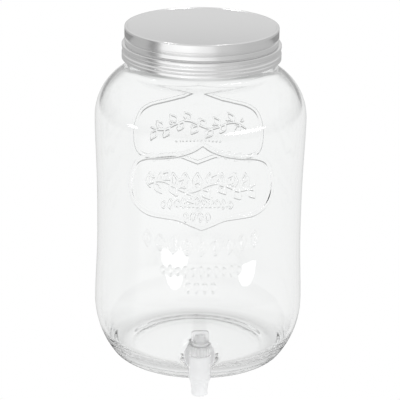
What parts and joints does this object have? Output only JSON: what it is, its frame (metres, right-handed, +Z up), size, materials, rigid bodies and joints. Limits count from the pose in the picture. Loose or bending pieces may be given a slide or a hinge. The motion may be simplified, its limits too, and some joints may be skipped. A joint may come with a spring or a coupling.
{
  "type": "beverage dispenser",
  "caption": "Glass jar drinks dispenser with a stamped metal screw lid and a clear plastic quarter-turn tap low on its front.",
  "frame": {"origin": "on the jar's axis, at the plane that the base ring stands on", "axes": "+Z up along the jar's axis, -Y towards the tap, +X to the right seen from the front"},
  "size_m": [0.206, 0.236, 0.334],
  "materials": {
    "jar_glass": "clear soda-lime glass, fire-polished",
    "lid_metal": "bright satin tinplate",
    "liner_foam": "white foamed plastic seal",
    "clear_plastic": "clear moulded plastic",
    "handle_plastic": "clear moulded plastic, slightly frosted",
    "nut_plastic": "translucent moulded plastic",
    "gasket_silicone": "translucent white silicone",
    "o_ring_rubber": "black rubber"
  },
  "bodies": {
    "jar": {"glass_jar": "jar_glass", "spigot_body": "clear_plastic", "bonnet_nut": "clear_plastic", "outer_gasket": "gasket_silicone", "inner_gasket": "gasket_silicone", "nut_washer": "nut_plastic", "lock_nut": "nut_plastic"},
    "lid_seal": {"lid_liner": "liner_foam"},
    "lid": {"lid_shell": "lid_metal"},
    "valve": {"valve_plug": "clear_plastic", "plug_lower_o_ring": "o_ring_rubber", "plug_upper_o_ring": "o_ring_rubber", "tap_handle": "handle_plastic"}
  },
  "joints": [
    {"name": "lid_lift", "type": "slide", "parent": "jar", "child": "lid_seal", "axis": [0, 0, 1], "range_m": [0, 0.06]},
    {"name": "lid_turn", "type": "hinge", "parent": "lid_seal", "child": "lid", "pos_m": [0, 0, 0.333], "axis": [0, 0, 1], "range_deg": [0, 432]},
    {"name": "valve_turn", "type": "hinge", "parent": "jar", "child": "valve", "pos_m": [0, -0.121, 0.04], "axis": [0, 0, 1], "range_deg": [0, 90]}
  ]
}
